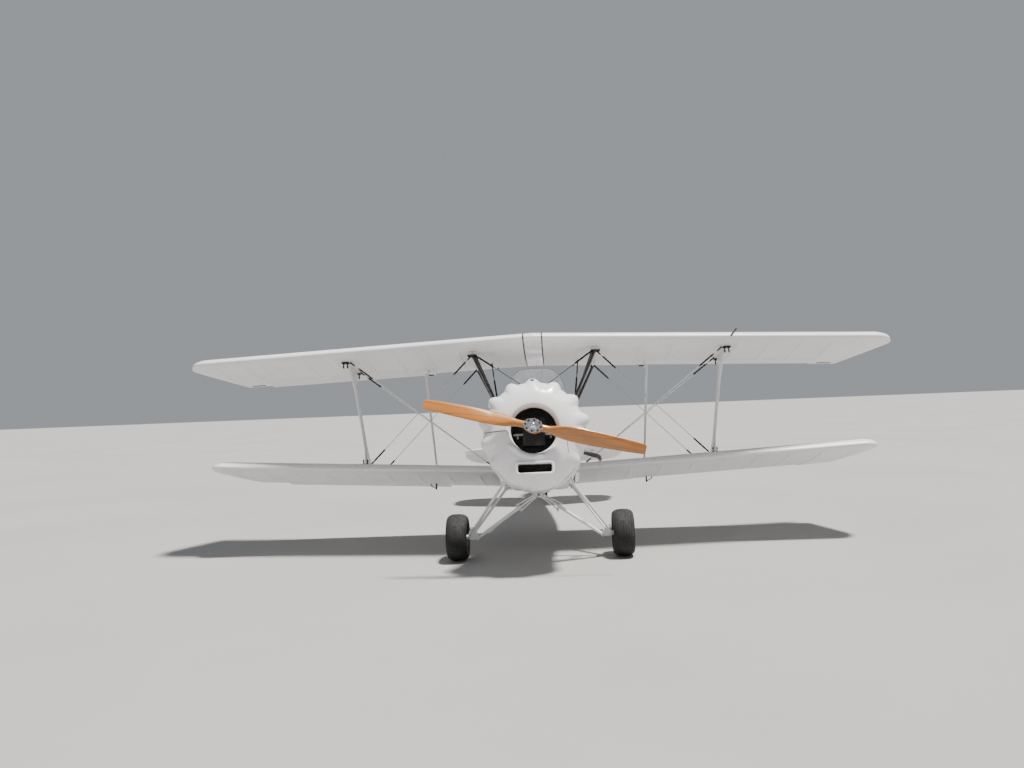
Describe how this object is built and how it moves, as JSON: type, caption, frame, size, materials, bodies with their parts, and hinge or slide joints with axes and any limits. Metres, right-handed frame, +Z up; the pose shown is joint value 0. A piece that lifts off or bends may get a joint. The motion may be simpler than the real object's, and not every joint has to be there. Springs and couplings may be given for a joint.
{
  "type": "two-seat open cockpit biplane",
  "caption": "Light two-seat open-cockpit biplane, fabric covered, with round bumped cowl, wooden propeller, wire-braced wings and tailwheel gear.",
  "frame": {"origin": "on the ground, under the middle of the parked aircraft's box", "axes": "+X to the pilot's left, +Y towards the tail, +Z up from the ground; the nose points along -Y"},
  "size_m": [6.48, 5.5412, 1.9441],
  "materials": {
    "white_fabric": "doped fabric over ribs, satin, slightly warm white",
    "white_paint": "glossy moulded shell, off-white",
    "white_tube": "semi-gloss white enamel on tube",
    "black_paint": "semi-gloss black enamel",
    "varnished_wood": "honey-coloured laminated wood under clear varnish",
    "polished_metal": "bright machined and polished",
    "cast_metal": "dark cast and painted metal",
    "steel_wire": "drawn stainless wire",
    "tyre_rubber": "worn ribbed rubber",
    "rim_metal": "satin cast wheel",
    "dark_core": "matt black fins",
    "clear_screen": "clear formed sheet",
    "seat_cover": "brown padded cover",
    "panel_face": "matt black panel"
  },
  "bodies": {
    "airframe": {"upper_wing_left": "white_fabric", "lower_wing_left": "white_fabric", "upper_wing_right": "white_fabric", "lower_wing_right": "white_fabric", "upper_wing_centre": "white_fabric", "interplane_strut_left": "white_tube", "cabane_strut_left": "black_paint", "flying_wires_left": "steel_wire", "landing_wire_front_left": "steel_wire", "landing_wire_rear_left": "steel_wire", "interplane_strut_right": "white_tube", "cabane_strut_right": "black_paint", "flying_wires_right": "steel_wire", "landing_wire_front_right": "steel_wire", "landing_wire_rear_right": "steel_wire", "cabane_cross_wires": "steel_wire", "fuselage_lower": "white_fabric", "deck_forward": "white_paint", "turtledeck": "white_fabric", "instrument_panel_front": "panel_face", "seat_front": "seat_cover", "control_stick_front": "black_paint", "instrument_panel_rear": "panel_face", "seat_rear": "seat_cover", "control_stick_rear": "black_paint", "windscreen_front": "clear_screen", "windscreen_rear": "clear_screen", "cowl_upper": "white_paint", "cowl_lower": "white_paint", "radiator_core": "dark_core", "engine_block": "cast_metal", "exhaust_pipe": "black_paint", "pitot_tube": "black_paint", "gear_leg_left": "white_tube", "shock_strut_left": "white_tube", "gear_leg_right": "white_tube", "shock_strut_right": "white_tube", "gear_centre_frame": "white_tube", "tailplane": "white_fabric", "fin": "white_fabric", "tail_brace_left": "white_tube", "tail_brace_right": "white_tube", "tail_spring": "cast_metal"},
    "propeller": {"propeller_blades": "varnished_wood", "propeller_hub_plate": "polished_metal"},
    "wheel_left": {"tyre_left": "tyre_rubber", "wheel_rim_left": "rim_metal"},
    "wheel_right": {"tyre_right": "tyre_rubber", "wheel_rim_right": "rim_metal"},
    "aileron_upper_left": {"aileron_upper_left": "white_fabric"},
    "aileron_upper_right": {"aileron_upper_right": "white_fabric"},
    "aileron_lower_left": {"aileron_lower_left": "white_fabric"},
    "aileron_lower_right": {"aileron_lower_right": "white_fabric"},
    "aileron_link_left": {"aileron_link_left": "white_tube"},
    "aileron_link_right": {"aileron_link_right": "white_tube"},
    "elevator": {"elevator": "white_fabric"},
    "rudder": {"rudder": "white_fabric"},
    "tailwheel_fork": {"tailwheel_fork": "cast_metal"},
    "tailwheel": {"tailwheel_tyre": "tyre_rubber", "tailwheel_hub": "rim_metal"}
  },
  "joints": [
    {"name": "propeller_spin", "type": "hinge", "parent": "airframe", "child": "propeller", "pos_m": [0, -2.70051, 1.16826], "axis": [0, 0.9816, -0.1908], "continuous": true},
    {"name": "wheel_left_spin", "type": "hinge", "parent": "airframe", "child": "wheel_left", "pos_m": [0.711, -1.87, 0.2], "axis": [1, 0, 0], "continuous": true},
    {"name": "wheel_right_spin", "type": "hinge", "parent": "airframe", "child": "wheel_right", "pos_m": [-0.711, -1.87, 0.2], "axis": [1, 0, 0], "continuous": true},
    {"name": "aileron_upper_left_hinge", "type": "hinge", "parent": "airframe", "child": "aileron_upper_left", "pos_m": [1.78248, -0.95609, 1.6891], "axis": [0.9903, 0.1357, -0.0308], "range_deg": [-18, 18]},
    {"name": "aileron_upper_right_hinge", "type": "hinge", "parent": "airframe", "child": "aileron_upper_right", "pos_m": [-1.78248, -0.95609, 1.6891], "axis": [0.9903, -0.1357, 0.0308], "range_deg": [-18, 18]},
    {"name": "aileron_lower_left_hinge", "type": "hinge", "parent": "airframe", "child": "aileron_lower_left", "pos_m": [1.79761, -0.76705, 0.61839], "axis": [0.9987, -0.0106, 0.0504], "range_deg": [-18, 18]},
    {"name": "aileron_lower_right_hinge", "type": "hinge", "parent": "airframe", "child": "aileron_lower_right", "pos_m": [-1.79761, -0.76705, 0.61839], "axis": [0.9987, 0.0106, -0.0504], "range_deg": [-18, 18]},
    {"name": "aileron_link_left_pivot", "type": "hinge", "parent": "aileron_lower_left", "child": "aileron_link_left", "pos_m": [1.00493, -0.7108, 0.60864], "axis": [0.9987, -0.0106, 0.0504], "range_deg": [-20, 20]},
    {"name": "aileron_link_right_pivot", "type": "hinge", "parent": "aileron_lower_right", "child": "aileron_link_right", "pos_m": [-1.0052, -0.70813, 0.60392], "axis": [0.9987, 0.0106, -0.0504], "range_deg": [-20, 20]},
    {"name": "elevator_hinge", "type": "hinge", "parent": "airframe", "child": "elevator", "pos_m": [0, 1.98393, 0.63564], "axis": [1, 0, 0], "range_deg": [-10, 38]},
    {"name": "rudder_hinge", "type": "hinge", "parent": "airframe", "child": "rudder", "pos_m": [0, 2.1135, 0.61045], "axis": [0, 0.1908, 0.9816], "range_deg": [-28, 28]},
    {"name": "tailwheel_steer", "type": "hinge", "parent": "airframe", "child": "tailwheel_fork", "pos_m": [0, 2.20294, 0.08], "axis": [0, 0, 1], "range_deg": [-28, 28]},
    {"name": "tailwheel_spin", "type": "hinge", "parent": "tailwheel_fork", "child": "tailwheel", "pos_m": [0, 2.25794, 0.08], "axis": [1, 0, 0], "continuous": true}
  ],
  "couplings": [
    {"joint": "aileron_lower_left_hinge", "follows": "aileron_upper_left_hinge", "ratio": 1},
    {"joint": "aileron_upper_right_hinge", "follows": "aileron_upper_left_hinge", "ratio": -1},
    {"joint": "aileron_lower_right_hinge", "follows": "aileron_upper_left_hinge", "ratio": -1},
    {"joint": "aileron_link_left_pivot", "follows": "aileron_upper_left_hinge", "ratio": -1.1},
    {"joint": "aileron_link_right_pivot", "follows": "aileron_upper_left_hinge", "ratio": 1.1},
    {"joint": "tailwheel_steer", "follows": "rudder_hinge", "ratio": 1}
  ]
}
